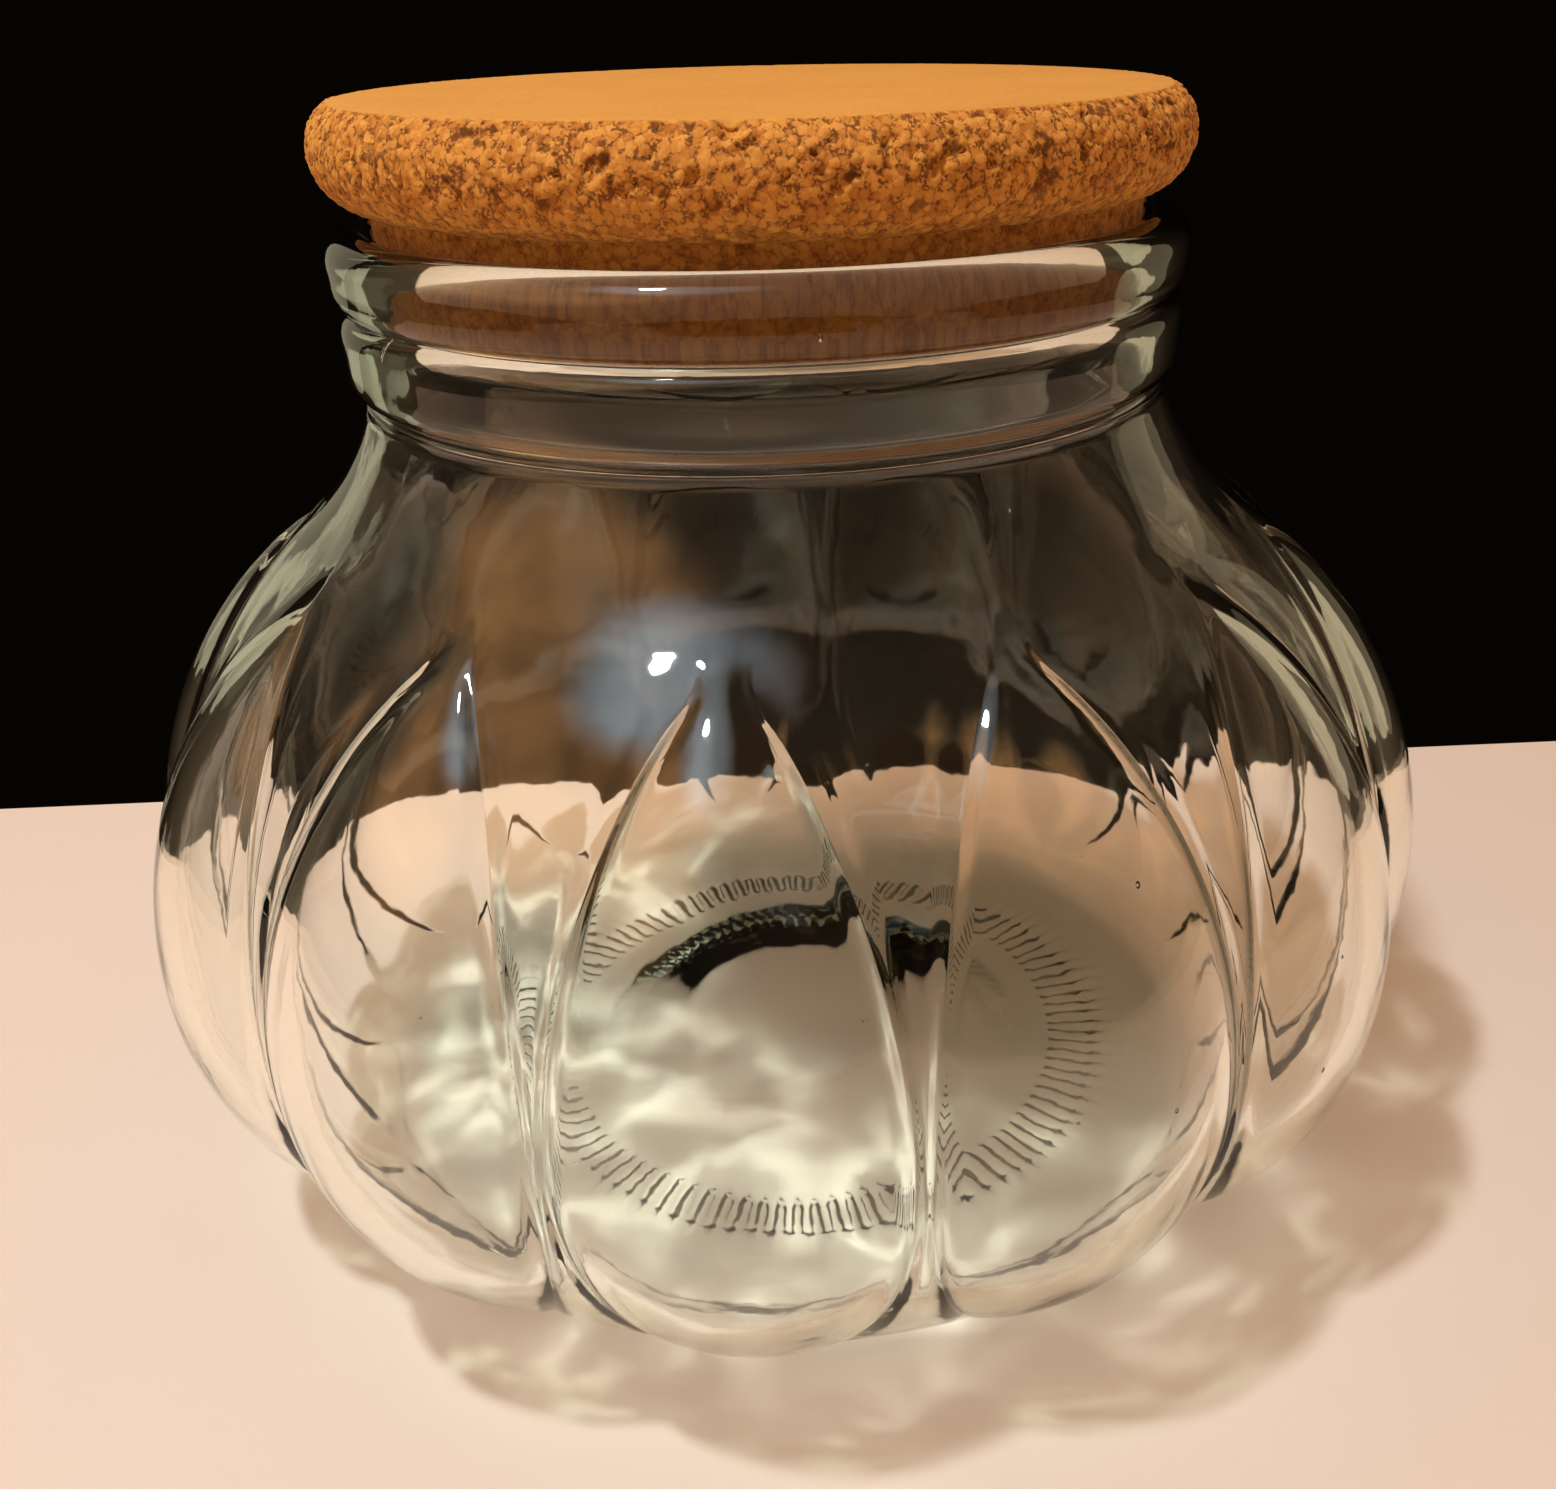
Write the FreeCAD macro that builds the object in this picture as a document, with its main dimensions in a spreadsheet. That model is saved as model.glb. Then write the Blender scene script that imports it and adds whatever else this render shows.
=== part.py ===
"""Squat glass jar with a belly of petal lobes and a turned cork lid.

The jar stands on z = 0 with its axis on Z. Its outside is what the mould gives: a turned base form with a
ring of spindle-shaped lobes. Its inside is the same form one wall further in, so the glass follows the lobes.
The cork lid is one turned piece: a round-sided disc and a tapered plug that wedges in the mouth.
"""
import FreeCAD, Part

import math
import os

import Sketcher

doc = FreeCAD.newDocument("CorkLidJar")
sheet = doc.addObject("Spreadsheet::Sheet", "Sizes")

# Driving sizes: millimetres, degrees and counts.
SIZES = (
    ("mouth_dia", 124.8, "bore that takes the plug"),
    ("neck_wall", 4.4, "glass round the bore, without the beads"),
    ("lip_rise", 3.7, "lip bead beyond the neck"),
    ("lip_height", 11.5, "crown of the lip to the groove under it"),
    ("groove_rise", 1.5, "bottom of the groove beyond the neck"),
    ("ring_rise", 3.4, "ring bead beyond the neck"),
    ("ring_height", 13.0, "groove to the foot of the ring"),
    ("neck_rise", 22.6, "shoulder circle to the foot of the ring"),
    ("shoulder_step", 16.5, "shoulder circle, which the lobes spring from, beyond the neck"),
    ("shoulder_lean", 51.33, "lean of the shoulder from upright at its circle, degrees"),
    ("belly_dia", 233.2, "between the lobes"),
    ("belly_height", 56.0, "table to the widest place"),
    ("heel_dia", 174.0, "circle on the table that the flanks run down to"),
    ("heel_round", 8.0, "rounding of the outer heel"),
    ("heel_lift", 1.5, "heel above the table"),
    ("lobe_lift", 0.4, "bottom of a lobe above the heel, inside the glass"),
    ("lobe_count", 13, "lobes around the belly"),
    ("lobe_rise", 5.9, "crest of a lobe above the belly between lobes"),
    ("lobe_set", 5.6, "upright axis of a lobe inside the shoulder circle"),
    ("lobe_tuck", 6.0, "circle on the table that the crests run down to, inside the heel circle"),
    ("foot_dia", 124.0, "middle of the foot ring"),
    ("foot_width", 6.0, "flat of the foot ring"),
    ("push_up", 4.0, "rise of the base inside the foot ring"),
    ("wall", 4.5, "glass of the body"),
    ("floor_height", 8.5, "table to the inside floor at its edge"),
    ("floor_dome", 2.5, "rise of the inside floor to its middle"),
    ("floor_round", 12.0, "rounding between floor and wall"),
    ("disc_overhang", 7.4, "cork disc beyond the plug"),
    ("disc_thick", 14.5, "cork disc"),
    ("disc_top_inset", 3.8, "edge of the flat top inside the widest place"),
    ("disc_bottom_inset", 6.8, "edge of the flat underside inside the widest place"),
    ("plug_depth", 14.1, "plug below the disc"),
    ("plug_taper", 5.0, "lean of the plug's side, degrees"),
    ("plug_clear", 0.25, "plug to bore, where the bore begins"),
    ("plug_bevel", 1.0, "bevel of the plug's lower edge"),
    ("seat_gap", 2.7, "crown of the lip to the disc"),
    ("overrun", 10.0, "how far cutting profiles reach past the glass"),
    ("lip_outer_share", 0.60, "outer rounding of the lip, of the lip's wall"),
    ("lip_inner_share", 0.36, "inner rounding of the lip, of the lip's wall"),
    ("bead_end_share", 0.24, "rounded end of a bead, of its height"),
    ("hollow_lift_share", 0.5, "bottom of a lobe's hollow above the floor's edge, of the floor's dome"),
    ("widest_share", 0.54, "height of the disc's widest place, of its thickness"),
)

# Sizes worked out from the driving ones, as formulas in the same sheet.
DERIVED = (
    # Neck, from the bore outwards.
    ("mouth_rad", "mouth_dia / 2"),
    ("neck_rad", "mouth_rad + neck_wall"),
    ("groove_rad", "neck_rad + groove_rise"),
    ("ring_rad", "neck_rad + ring_rise"),
    ("lip_rad", "neck_rad + lip_rise"),
    ("tip_rad", "neck_rad + shoulder_step"),
    # Shoulder: one arc, upright at the belly, that leans as it should where it meets its circle.
    ("belly_rad", "belly_dia / 2"),
    ("spread", "belly_rad - tip_rad"),
    ("shoulder_round", "spread / (1 - cos(shoulder_lean))"),
    ("shoulder_rise", "shoulder_round * sin(shoulder_lean)"),
    # Heights, from the table up.
    ("tip_height", "belly_height + shoulder_rise"),
    ("ring_foot_height", "tip_height + neck_rise"),
    ("groove_height", "ring_foot_height + ring_height"),
    ("jar_height", "groove_height + lip_height"),
    # Flare between neck and shoulder; the ring's foot meets it where it passes that height.
    ("flare_round", "shoulder_step / (1 - cos(shoulder_lean))"),
    ("flare_top", "tip_height + flare_round * sin(shoulder_lean)"),
    ("ring_foot_rad", "neck_rad + flare_round - sqrt(flare_round^2 - (flare_top - ring_foot_height)^2)"),
    # Beads: upright sides with rounded ends.
    ("ring_end", "ring_height * bead_end_share"),
    ("ring_low", "ring_foot_height + ring_end"),
    ("ring_high", "groove_height - ring_end"),
    ("ring_low_round", "((ring_rad - ring_foot_rad)^2 + ring_end^2) / (2 * (ring_rad - ring_foot_rad))"),
    ("ring_high_round", "((ring_rad - groove_rad)^2 + ring_end^2) / (2 * (ring_rad - groove_rad))"),
    ("lip_end", "lip_height * bead_end_share"),
    ("lip_low", "groove_height + lip_end"),
    ("lip_low_round", "((lip_rad - groove_rad)^2 + lip_end^2) / (2 * (lip_rad - groove_rad))"),
    ("lip_outer", "(lip_rad - mouth_rad) * lip_outer_share"),
    ("lip_inner", "(lip_rad - mouth_rad) * lip_inner_share"),
    ("lip_high", "jar_height - lip_outer"),
    ("crown_rad", "lip_rad - lip_outer"),
    ("crown_in_rad", "mouth_rad + lip_inner"),
    ("bore_top", "jar_height - lip_inner"),
    # Belly to heel: an arc that is upright at the belly and runs to the heel circle on the table.
    ("heel_rad", "heel_dia / 2"),
    ("flank_axis", "(heel_rad^2 + belly_height^2 - belly_rad^2) / (2 * (heel_rad - belly_rad))"),
    ("flank_round", "belly_rad - flank_axis"),
    ("heel_arm", "flank_round - heel_round"),
    ("heel_fall", "belly_height - heel_lift - heel_round"),
    ("heel_out", "sqrt(heel_arm^2 - heel_fall^2)"),
    ("heel_flat_rad", "flank_axis + heel_out"),
    ("heel_top_rad", "flank_axis + heel_out * flank_round / heel_arm"),
    ("heel_top_height", "belly_height - heel_fall * flank_round / heel_arm"),
    # Crest of a lobe: two arcs, upright at the belly, to the shoulder circle and to a circle inside the heel.
    ("crest_rad", "belly_rad + lobe_rise"),
    ("crest_axis", "(tip_rad^2 + shoulder_rise^2 - crest_rad^2) / (2 * (tip_rad - crest_rad))"),
    ("crest_round", "crest_rad - crest_axis"),
    ("keel_foot_rad", "heel_rad - lobe_tuck"),
    ("keel_axis", "(keel_foot_rad^2 + belly_height^2 - crest_rad^2) / (2 * (keel_foot_rad - crest_rad))"),
    ("keel_round", "crest_rad - keel_axis"),
    ("keel_bottom", "heel_lift + lobe_lift"),
    ("keel_arm", "keel_round - heel_round"),
    ("keel_fall", "belly_height - keel_bottom - heel_round"),
    ("keel_out", "sqrt(keel_arm^2 - keel_fall^2)"),
    ("keel_flat_rad", "keel_axis + keel_out"),
    ("keel_top_rad", "keel_axis + keel_out * keel_round / keel_arm"),
    ("keel_top_height", "belly_height - keel_fall * keel_round / keel_arm"),
    # Underside: foot ring, pushed-up middle, and a base that rises from the ring to the heel.
    ("foot_inner_rad", "(foot_dia - foot_width) / 2"),
    ("foot_outer_rad", "(foot_dia + foot_width) / 2"),
    ("push_round", "(foot_inner_rad^2 + push_up^2) / (2 * push_up)"),
    # Inside of the glass: the same arcs, one wall further in.
    ("tip_in_rad", "tip_rad - wall * cos(shoulder_lean)"),
    ("tip_in_height", "tip_height - wall * sin(shoulder_lean)"),
    ("flare_in_round", "(tip_in_rad - mouth_rad) / (1 - cos(shoulder_lean))"),
    ("flare_in_top", "tip_in_height + flare_in_round * sin(shoulder_lean)"),
    ("shoulder_in_round", "shoulder_round - wall"),
    ("belly_in_rad", "belly_rad - wall"),
    ("flank_in_round", "flank_round - wall"),
    ("floor_arm", "flank_in_round - floor_round"),
    ("floor_fall", "belly_height - floor_height - floor_round"),
    ("floor_out", "sqrt(floor_arm^2 - floor_fall^2)"),
    ("floor_rad", "flank_axis + floor_out"),
    ("floor_wall_rad", "flank_axis + floor_out * flank_in_round / floor_arm"),
    ("floor_wall_height", "belly_height - floor_fall * flank_in_round / floor_arm"),
    ("floor_middle", "floor_height + floor_dome"),
    ("dome_round", "(floor_rad^2 + floor_dome^2) / (2 * floor_dome)"),
    ("crest_in_rad", "crest_rad - wall"),
    ("crest_in_round", "crest_round - wall"),
    ("keel_in_round", "keel_round - wall"),
    ("keel_in_bottom", "floor_height + floor_dome * hollow_lift_share"),
    ("keel_in_arm", "keel_in_round - floor_round"),
    ("keel_in_fall", "belly_height - keel_in_bottom - floor_round"),
    ("keel_in_out", "sqrt(keel_in_arm^2 - keel_in_fall^2)"),
    ("keel_in_flat_rad", "keel_axis + keel_in_out"),
    ("keel_in_top_rad", "keel_axis + keel_in_out * keel_in_round / keel_in_arm"),
    ("keel_in_top_height", "belly_height - keel_in_fall * keel_in_round / keel_in_arm"),
    # Upright axis of a lobe, inside its top and both its bottoms, and where the crests reach it.
    ("spindle_axis", "min(tip_rad; keel_flat_rad; keel_in_flat_rad) - lobe_set"),
    ("crest_top", "belly_height + sqrt(crest_round^2 - (spindle_axis - crest_axis)^2)"),
    ("crest_in_top", "belly_height + sqrt(crest_in_round^2 - (spindle_axis - crest_axis)^2)"),
    ("mouth_top", "jar_height + overrun"),
    # Cork lid: the plug follows the bore, the disc follows the plug and the lip.
    ("disc_bottom", "jar_height + seat_gap"),
    ("disc_top", "disc_bottom + disc_thick"),
    ("plug_rad", "mouth_rad - plug_clear"),
    ("plug_top_rad", "plug_rad + (disc_bottom - bore_top) * tan(plug_taper)"),
    ("plug_bottom", "disc_bottom - plug_depth"),
    ("plug_edge_height", "plug_bottom + plug_bevel"),
    ("plug_edge_rad", "plug_rad - (bore_top - plug_edge_height) * tan(plug_taper)"),
    ("plug_end_rad", "plug_edge_rad - plug_bevel"),
    ("disc_rad", "plug_top_rad + disc_overhang"),
    ("disc_top_rad", "disc_rad - disc_top_inset"),
    ("disc_bottom_rad", "disc_rad - disc_bottom_inset"),
    ("widest_rise", "disc_thick * widest_share"),
    ("widest_height", "disc_bottom + widest_rise"),
    ("rim_low_round", "(disc_bottom_inset^2 + widest_rise^2) / (2 * disc_bottom_inset)"),
    ("rim_high_round", "(disc_top_inset^2 + (disc_thick - widest_rise)^2) / (2 * disc_top_inset)"),
)

# Names for the two places that are at zero.
AXIS = ""
TABLE = ""

FULL_TURN = 360


def fill_sheet():
    """Write the driving sizes and the formulas to the sheet, one row and one alias each."""
    rows = [(name, str(value), note) for name, value, note in SIZES]
    rows += [(name, "=" + formula, "worked out") for name, formula in DERIVED]
    for row, (name, content, note) in enumerate(rows, start=1):
        sheet.set(f"A{row}", name)
        sheet.set(f"B{row}", content)
        sheet.set(f"C{row}", note)
        sheet.setAlias(f"B{row}", name)
    doc.recompute()


def size(name):
    """A size's value now, as a plain number. The axis and the table are at zero."""
    return float(sheet.get(name)) if name else 0.0


class Outline:
    """A closed outline in a body's XZ plane. Corners and radii are names of sizes: radius first, then height."""

    # A sketch's own numbers for its level and its upright axis; the first point of the level one is the origin.
    LEVEL_INDEX = -1
    UPRIGHT_INDEX = -2

    def __init__(self, body, name):
        plane = next(item for item in body.Origin.OriginFeatures if item.Role == "XZ_Plane")
        self.sketch = body.newObject("Sketcher::SketchObject", name)
        self.sketch.AttachmentSupport = [(plane, "")]
        self.sketch.MapMode = "FlatFace"
        self.corners = []
        self.edges = []

    def start(self, rad, height):
        self.corners.append((rad, height))

    def line(self, rad, height):
        self.edges.append(None)
        self.corners.append((rad, height))

    def arc(self, rad, height, radius, left=False):
        """An arc of less than a half turn to the next corner, bulging to the right of its way, or to the left."""
        self.edges.append((radius, left))
        self.corners.append((rad, height))

    def close(self):
        """Close with a line to the first corner, then tie every corner and radius to the sheet."""
        self.edges.append(None)
        points = [FreeCAD.Vector(size(rad), size(height), 0) for rad, height in self.corners]
        starts = []
        ends = []
        for index, edge in enumerate(self.edges):
            begin = points[index]
            end = points[(index + 1) % len(points)]
            number = self.sketch.addGeometry(self.curve(begin, end, edge), False)
            # A sketch keeps arcs counter-clockwise, so an arc's first vertex may be its far corner.
            first = self.sketch.getPoint(number, 1)
            forward = first.distanceToPoint(begin) < first.distanceToPoint(end)
            starts.append((number, 1 if forward else 2))
            ends.append((number, 2 if forward else 1))
        for index, begin in enumerate(starts):
            self.sketch.addConstraint(Sketcher.Constraint("Coincident", *ends[index - 1], *begin))
        for (rad, height), begin in zip(self.corners, starts):
            self.place("DistanceX", self.UPRIGHT_INDEX, begin, rad)
            self.place("DistanceY", self.LEVEL_INDEX, begin, height)
        for (number, _), edge in zip(starts, self.edges):
            if edge:
                self.bind(Sketcher.Constraint("Radius", number, size(edge[0])), edge[0])
        return self.sketch

    def curve(self, begin, end, edge):
        if edge is None:
            return Part.LineSegment(begin, end)
        radius, left = edge
        along = end - begin
        half = along.Length / 2
        side = FreeCAD.Vector(-along.y, along.x, 0).normalize()
        rise = size(radius) - math.sqrt(size(radius) ** 2 - half ** 2)
        middle = (begin + end) / 2 + side * (rise if left else -rise)
        return Part.Arc(begin, middle, end)

    def place(self, kind, axis, vertex, name):
        """Hold a vertex at a named distance from an axis, or on it."""
        if name:
            self.bind(Sketcher.Constraint(kind, self.LEVEL_INDEX, 1, *vertex, size(name)), name)
        else:
            self.sketch.addConstraint(Sketcher.Constraint("PointOnObject", *vertex, axis))

    def bind(self, constraint, name):
        index = self.sketch.addConstraint(constraint)
        self.sketch.setExpression(f"Constraints[{index}]", f"{sheet.Name}.{name}")

    def add_axis(self, rad, bottom, top):
        """An upright construction line to turn the outline about."""
        foot = FreeCAD.Vector(size(rad), size(bottom), 0)
        head = FreeCAD.Vector(size(rad), size(top), 0)
        number = self.sketch.addGeometry(Part.LineSegment(foot, head), True)
        self.sketch.addConstraint(Sketcher.Constraint("Vertical", number))
        self.place("DistanceX", self.UPRIGHT_INDEX, (number, 1), rad)
        self.place("DistanceY", self.LEVEL_INDEX, (number, 1), bottom)
        self.place("DistanceY", self.LEVEL_INDEX, (number, 2), top)


def new_body(label):
    body = doc.addObject("PartDesign::Body", label)
    body.Label = label
    return body


def turn(body, sketch, axis="V_Axis"):
    """A full turn of an outline, added to its body."""
    feature = body.newObject("PartDesign::Revolution", f"{sketch.Name}Turn")
    feature.Profile = sketch
    feature.ReferenceAxis = (sketch, [axis])
    feature.Angle = FULL_TURN
    doc.recompute()
    return feature


def add_lobes(body, name, part, bottom_round):
    """A ring of lobes: spindles on upright axes, each crest two arcs that meet at the belly.

    part is what the names of the sizes hold after keel or crest: nothing outside, _in for the hollow.
    """
    bottom = f"keel{part}_bottom"
    top = f"crest{part}_top"
    outline = Outline(body, name)
    outline.start("spindle_axis", bottom)
    outline.line(f"keel{part}_flat_rad", bottom)
    outline.arc(f"keel{part}_top_rad", f"keel{part}_top_height", bottom_round)
    outline.arc(f"crest{part}_rad", "belly_height", f"keel{part}_round")
    outline.arc("spindle_axis", top, f"crest{part}_round")
    sketch = outline.close()
    outline.add_axis("spindle_axis", bottom, top)
    lobe = turn(body, sketch, "Axis0")
    upright = next(item for item in body.Origin.OriginFeatures if item.Role == "Z_Axis")
    ring = body.newObject("PartDesign::PolarPattern", f"{name}Ring")
    ring.Originals = [lobe]
    ring.Axis = (upright, [""])
    ring.Angle = FULL_TURN
    ring.setExpression("Occurrences", f"{sheet.Name}.lobe_count")
    body.Tip = ring
    doc.recompute()


def make_outside(body):
    """The glass as the mould shapes it, still without its hollow."""
    form = Outline(body, "BaseForm")
    form.start(AXIS, "push_up")
    form.arc("foot_inner_rad", TABLE, "push_round", left=True)
    form.line("foot_outer_rad", TABLE)
    form.line("heel_flat_rad", "heel_lift")
    form.arc("heel_top_rad", "heel_top_height", "heel_round")
    form.arc("belly_rad", "belly_height", "flank_round")
    form.arc("tip_rad", "tip_height", "shoulder_round")
    form.arc("ring_foot_rad", "ring_foot_height", "flare_round", left=True)
    form.arc("ring_rad", "ring_low", "ring_low_round")
    form.line("ring_rad", "ring_high")
    form.arc("groove_rad", "groove_height", "ring_high_round")
    form.arc("lip_rad", "lip_low", "lip_low_round")
    form.line("lip_rad", "lip_high")
    form.arc("crown_rad", "jar_height", "lip_outer")
    form.line(AXIS, "jar_height")
    turn(body, form.close())
    add_lobes(body, "Lobe", "", "heel_round")


def make_inside(body):
    """The hollow of the jar, from the floor to above the mouth."""
    form = Outline(body, "Hollow")
    form.start(AXIS, "floor_middle")
    form.arc("floor_rad", "floor_height", "dome_round", left=True)
    form.arc("floor_wall_rad", "floor_wall_height", "floor_round")
    form.arc("belly_in_rad", "belly_height", "flank_in_round")
    form.arc("tip_in_rad", "tip_in_height", "shoulder_in_round")
    form.arc("mouth_rad", "flare_in_top", "flare_in_round", left=True)
    form.line("mouth_rad", "bore_top")
    form.arc("crown_in_rad", "jar_height", "lip_inner", left=True)
    form.line("crown_in_rad", "mouth_top")
    form.line(AXIS, "mouth_top")
    turn(body, form.close())
    add_lobes(body, "LobeHollow", "_in", "floor_round")


def make_jar():
    jar = new_body("glass_jar")
    make_outside(jar)
    hollow = new_body("jar_hollow")
    make_inside(hollow)
    before = jar.Shape.Volume
    cut = jar.newObject("PartDesign::Boolean", "JarHollow")
    cut.setObjects([hollow])
    cut.Type = "Cut"
    jar.Tip = cut
    doc.recompute()
    if not jar.Shape.Volume < before:
        raise RuntimeError("the jar is not hollow")
    return jar


def make_lid():
    """Cork disc and plug, turned from one blank."""
    lid = new_body("cork_lid")
    form = Outline(lid, "LidForm")
    form.start(AXIS, "plug_bottom")
    form.line("plug_end_rad", "plug_bottom")
    form.line("plug_edge_rad", "plug_edge_height")
    form.line("plug_top_rad", "disc_bottom")
    form.line("disc_bottom_rad", "disc_bottom")
    form.arc("disc_rad", "widest_height", "rim_low_round")
    form.arc("disc_top_rad", "disc_top", "rim_high_round")
    form.line(AXIS, "disc_top")
    turn(lid, form.close())
    return lid


def check(pieces):
    """Every object of the document is sound, and every piece is one valid solid."""
    for item in doc.Objects:
        if "Invalid" in item.State or "Error" in item.State:
            raise RuntimeError(f"{item.Name} failed: {item.State}")
    for piece in pieces:
        shape = piece.Shape
        if shape.isNull() or not shape.isValid() or len(shape.Solids) != 1:
            raise RuntimeError(f"{piece.Label} is not one valid solid")


def main():
    fill_sheet()
    pieces = [make_jar(), make_lid()]
    doc.recompute()
    check(pieces)
    os.makedirs("parts", exist_ok=True)
    for piece in pieces:
        box = piece.Shape.optimalBoundingBox()
        print(f"{piece.Label}: {box.XLength:.1f} x {box.YLength:.1f} x {box.ZLength:.1f} mm,"
              f" {piece.Shape.Volume:.0f} mm3, {len(piece.Shape.Faces)} faces")
        piece.Shape.exportStep(f"parts/{piece.Label}.step")


main()
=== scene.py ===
# %% [markdown]
# # A lobed glass jar with a cork lid
# The jar is one piece of pressed glass with thirteen petal lobes, and its lid is one piece of pressed
# cork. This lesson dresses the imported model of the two: Geometry Nodes grow each piece from a few named
# sizes, and node materials give the glass its green depth and the cork its granules. Everything is in the
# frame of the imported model: +Z is up and the jar stands on z = 0. Blender works in metres, and sizes that
# are drawn in millimetres are multiplied by MM.

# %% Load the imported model
import math

import bpy
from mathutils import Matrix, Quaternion, Vector


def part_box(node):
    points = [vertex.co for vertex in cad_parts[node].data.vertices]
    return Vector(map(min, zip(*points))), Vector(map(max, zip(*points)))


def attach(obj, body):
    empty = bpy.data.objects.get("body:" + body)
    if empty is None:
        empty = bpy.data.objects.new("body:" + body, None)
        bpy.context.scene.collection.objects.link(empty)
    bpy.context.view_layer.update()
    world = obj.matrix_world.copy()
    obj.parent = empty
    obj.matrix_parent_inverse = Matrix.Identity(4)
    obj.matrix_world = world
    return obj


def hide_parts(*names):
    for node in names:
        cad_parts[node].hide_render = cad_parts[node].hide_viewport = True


MM = 0.001

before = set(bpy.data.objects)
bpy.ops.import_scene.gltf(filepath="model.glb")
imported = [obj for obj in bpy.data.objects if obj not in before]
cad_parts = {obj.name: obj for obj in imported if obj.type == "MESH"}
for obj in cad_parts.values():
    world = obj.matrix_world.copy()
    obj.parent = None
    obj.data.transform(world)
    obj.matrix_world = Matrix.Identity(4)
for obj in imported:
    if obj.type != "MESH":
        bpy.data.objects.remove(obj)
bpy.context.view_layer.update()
jar_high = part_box("glass_jar")[1]
lid_low, lid_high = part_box("cork_lid")

# %% [markdown]
# ## The camera
# The photograph looks down into the jar from close by, so the ellipses of lid and base are open and the
# lid looks wider than the neck. The place was found by fitting the ellipses of lid, lip, ring and foot.
# The picture is a crop, so the lens axis isn't in its middle: the two shifts say where it is.

# %% Camera
CAMERA_PLACE = Vector((59.8, -263.0, 203.7)) * MM
CAMERA_HEADING = math.radians(99.522)
CAMERA_PITCH = math.radians(32.61)
CAMERA_ROLL = math.radians(-1.192)

view = bpy.data.cameras.new("camera")
view.sensor_width = 36
view.lens = 34.066
view.shift_x = -0.0591
view.shift_y = 0.1128
view.clip_start = 0.01
camera = bpy.data.objects.new("camera", view)
camera.rotation_mode = "QUATERNION"
camera.location = CAMERA_PLACE
camera.rotation_quaternion = (
    Quaternion((0, 0, 1), CAMERA_HEADING - math.pi / 2)
    @ Quaternion((1, 0, 0), math.pi / 2 - CAMERA_PITCH)
    @ Quaternion((0, 0, 1), CAMERA_ROLL)
)
bpy.context.collection.objects.link(camera)
bpy.context.scene.camera = camera
print("camera", [round(part, 3) for part in CAMERA_PLACE], "lens", round(view.lens, 2), "mm")

# %% [markdown]
# ## Writing node trees as sums
# A formula drawn as dozens of Math nodes is hard to read. A small class wraps a socket and takes part in
# Python sums instead: each sum adds its Math node. Every other node comes from one method that takes the
# node's type, its settings and its sockets. The nodes that are used most have a short form of that
# method.


# %% Sums of sockets
class Link:
    """A node's output that takes part in sums: each sum adds a Math node to its tree."""

    def __init__(self, nodes, socket):
        self.nodes = nodes
        self.socket = socket

    def output(self, key):
        return Link(self.nodes, self.socket.node.outputs[key])

    def math(self, operation, *values):
        return self.nodes.add("ShaderNodeMath", {"operation": operation}, dict(enumerate(values)))

    def apply(self, operation, *others):
        return self.math(operation, self, *others)

    def __add__(self, other):
        return self.math("ADD", self, other)

    def __radd__(self, other):
        return self.math("ADD", other, self)

    def __sub__(self, other):
        return self.math("SUBTRACT", self, other)

    def __rsub__(self, other):
        return self.math("SUBTRACT", other, self)

    def __mul__(self, other):
        return self.math("MULTIPLY", self, other)

    def __rmul__(self, other):
        return self.math("MULTIPLY", other, self)

    def __truediv__(self, other):
        return self.math("DIVIDE", self, other)

    def __rtruediv__(self, other):
        return self.math("DIVIDE", other, self)

    def __gt__(self, other):
        return self.math("GREATER_THAN", self, other)

    def __lt__(self, other):
        return self.math("LESS_THAN", self, other)

    def __abs__(self):
        return self.math("ABSOLUTE", self)

    def clamp(self, low, high):
        return self.apply("MAXIMUM", low).apply("MINIMUM", high)

    def step(self, low, high):
        """0 below low, 1 above high, and a soft rise between them."""
        names = ("Value", "From Min", "From Max", "To Min", "To Max")
        sockets = dict(zip(names, (self, low, high, 0.0, 1.0)))
        return self.nodes.add("ShaderNodeMapRange", {"interpolation_type": "SMOOTHSTEP"}, sockets)


print("sums of sockets are ready")

# %% Node trees
# A Mix node has its own sockets for each kind of value: these are the ones for colours.
MIX_FIRST = 6
MIX_SECOND = 7
MIX_RESULT = 2


class Nodes:
    """A node tree that grows by one method."""

    def __init__(self, tree):
        self.tree = tree

    def add(self, kind, settings=None, sockets=None, out=0):
        """Adds a node, sets it, then fills its sockets: each takes a value, a link or a list of links."""
        made = self.tree.nodes.new(kind)
        for name, value in (settings or {}).items():
            if name == "stops":
                set_stops(made.color_ramp.elements, value)
            else:
                setattr(made, name, value)
        for key, value in (sockets or {}).items():
            for source in value if isinstance(value, list) else [value]:
                if isinstance(source, Link):
                    self.tree.links.new(source.socket, made.inputs[key])
                else:
                    made.inputs[key].default_value = source
        return Link(self, made.outputs[out]) if len(made.outputs) else made

    def noise(self, where, scale, detail, out=0):
        return self.add("ShaderNodeTexNoise", {}, {"Vector": where, "Scale": scale, "Detail": detail}, out)

    def mix(self, share, first, second):
        """A colour between two others."""
        sockets = {"Factor": share, MIX_FIRST: first, MIX_SECOND: second}
        return self.add("ShaderNodeMix", {"data_type": "RGBA"}, sockets, MIX_RESULT)

    def vector(self, operation, sockets, out=0):
        return self.add("ShaderNodeVectorMath", {"operation": operation}, sockets, out)


def set_stops(elements, stops):
    while len(elements) < len(stops):
        elements.new(1.0)
    for element, (position, colour) in zip(elements, stops):
        element.position = position
        element.color = (*colour, 1.0)


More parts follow.
